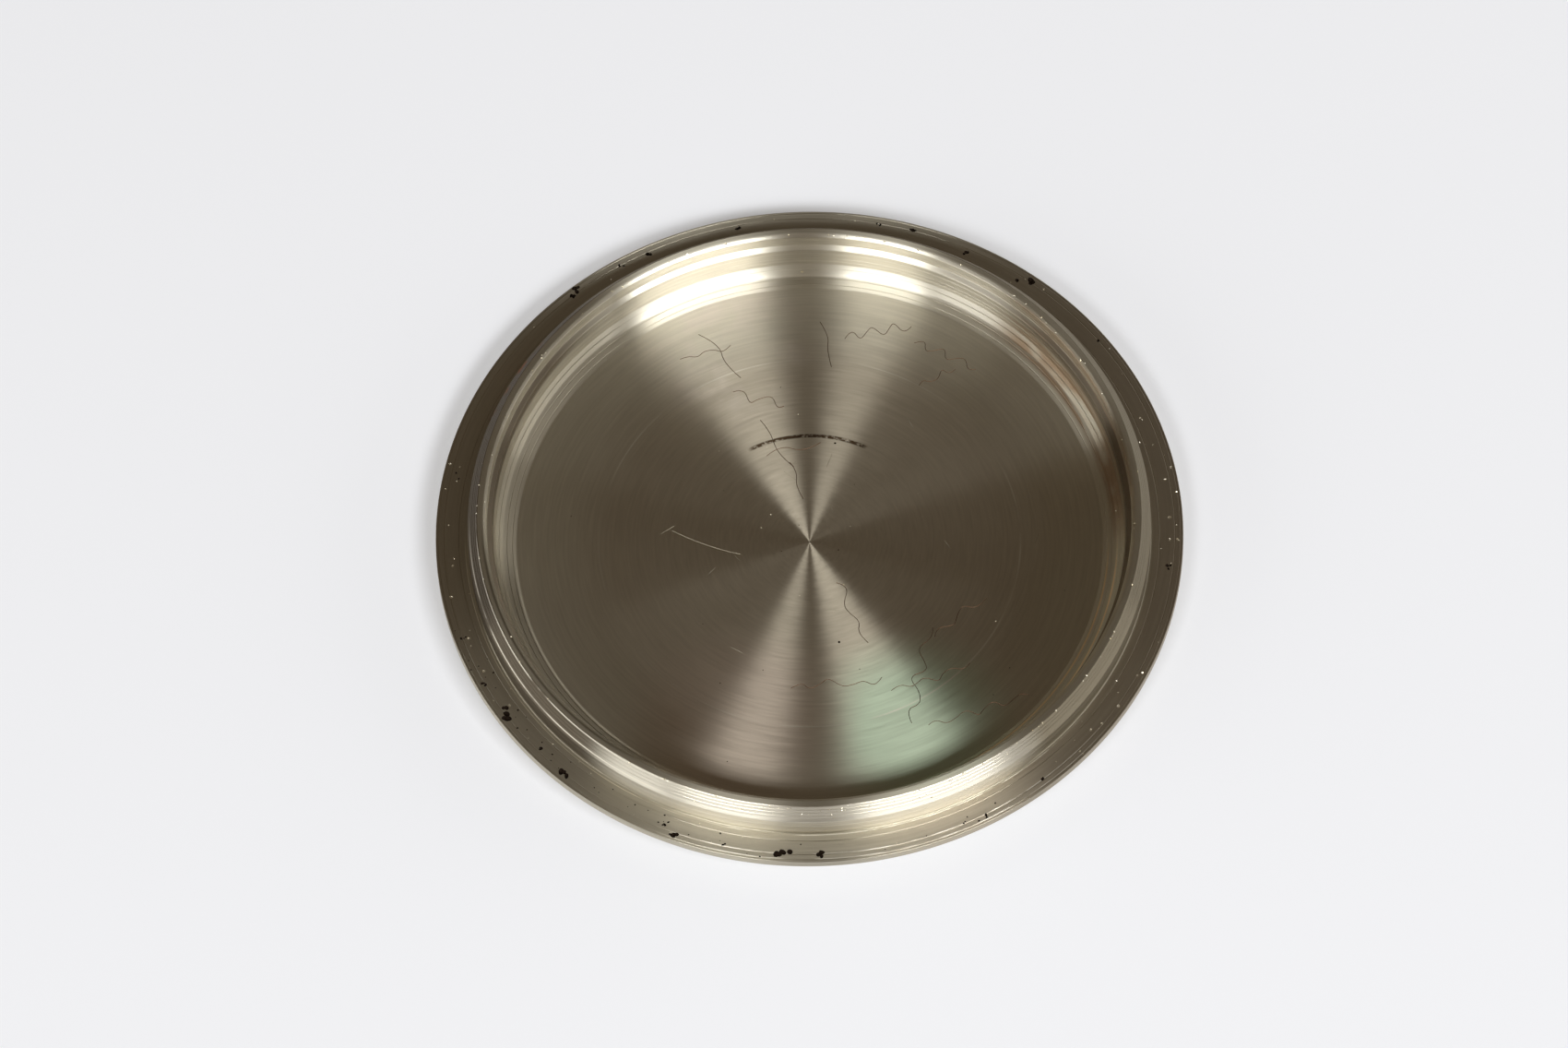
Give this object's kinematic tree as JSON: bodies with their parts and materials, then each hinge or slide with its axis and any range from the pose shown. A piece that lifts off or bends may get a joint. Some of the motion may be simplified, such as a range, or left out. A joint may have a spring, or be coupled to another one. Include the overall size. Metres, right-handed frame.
{
  "type": "press-fit watch case back",
  "caption": "Round press-fit steel back for a wrist watch case, with a seat flange, a gripping ring and a shallow recess behind the movement.",
  "frame": {"origin": "centre of the flat outer face, which the back rests on when it lies open side up", "axes": "+Z along the turning axis, from the outer face towards the movement; the part is round, so +X and +Y are free"},
  "size_m": [0.034, 0.034, 0.0031],
  "materials": {
    "turned_steel": "fine concentric turning marks, satin, with small corrosion pits and service scratches"
  },
  "bodies": {
    "root": {"case_back": "turned_steel"}
  },
  "joints": []
}
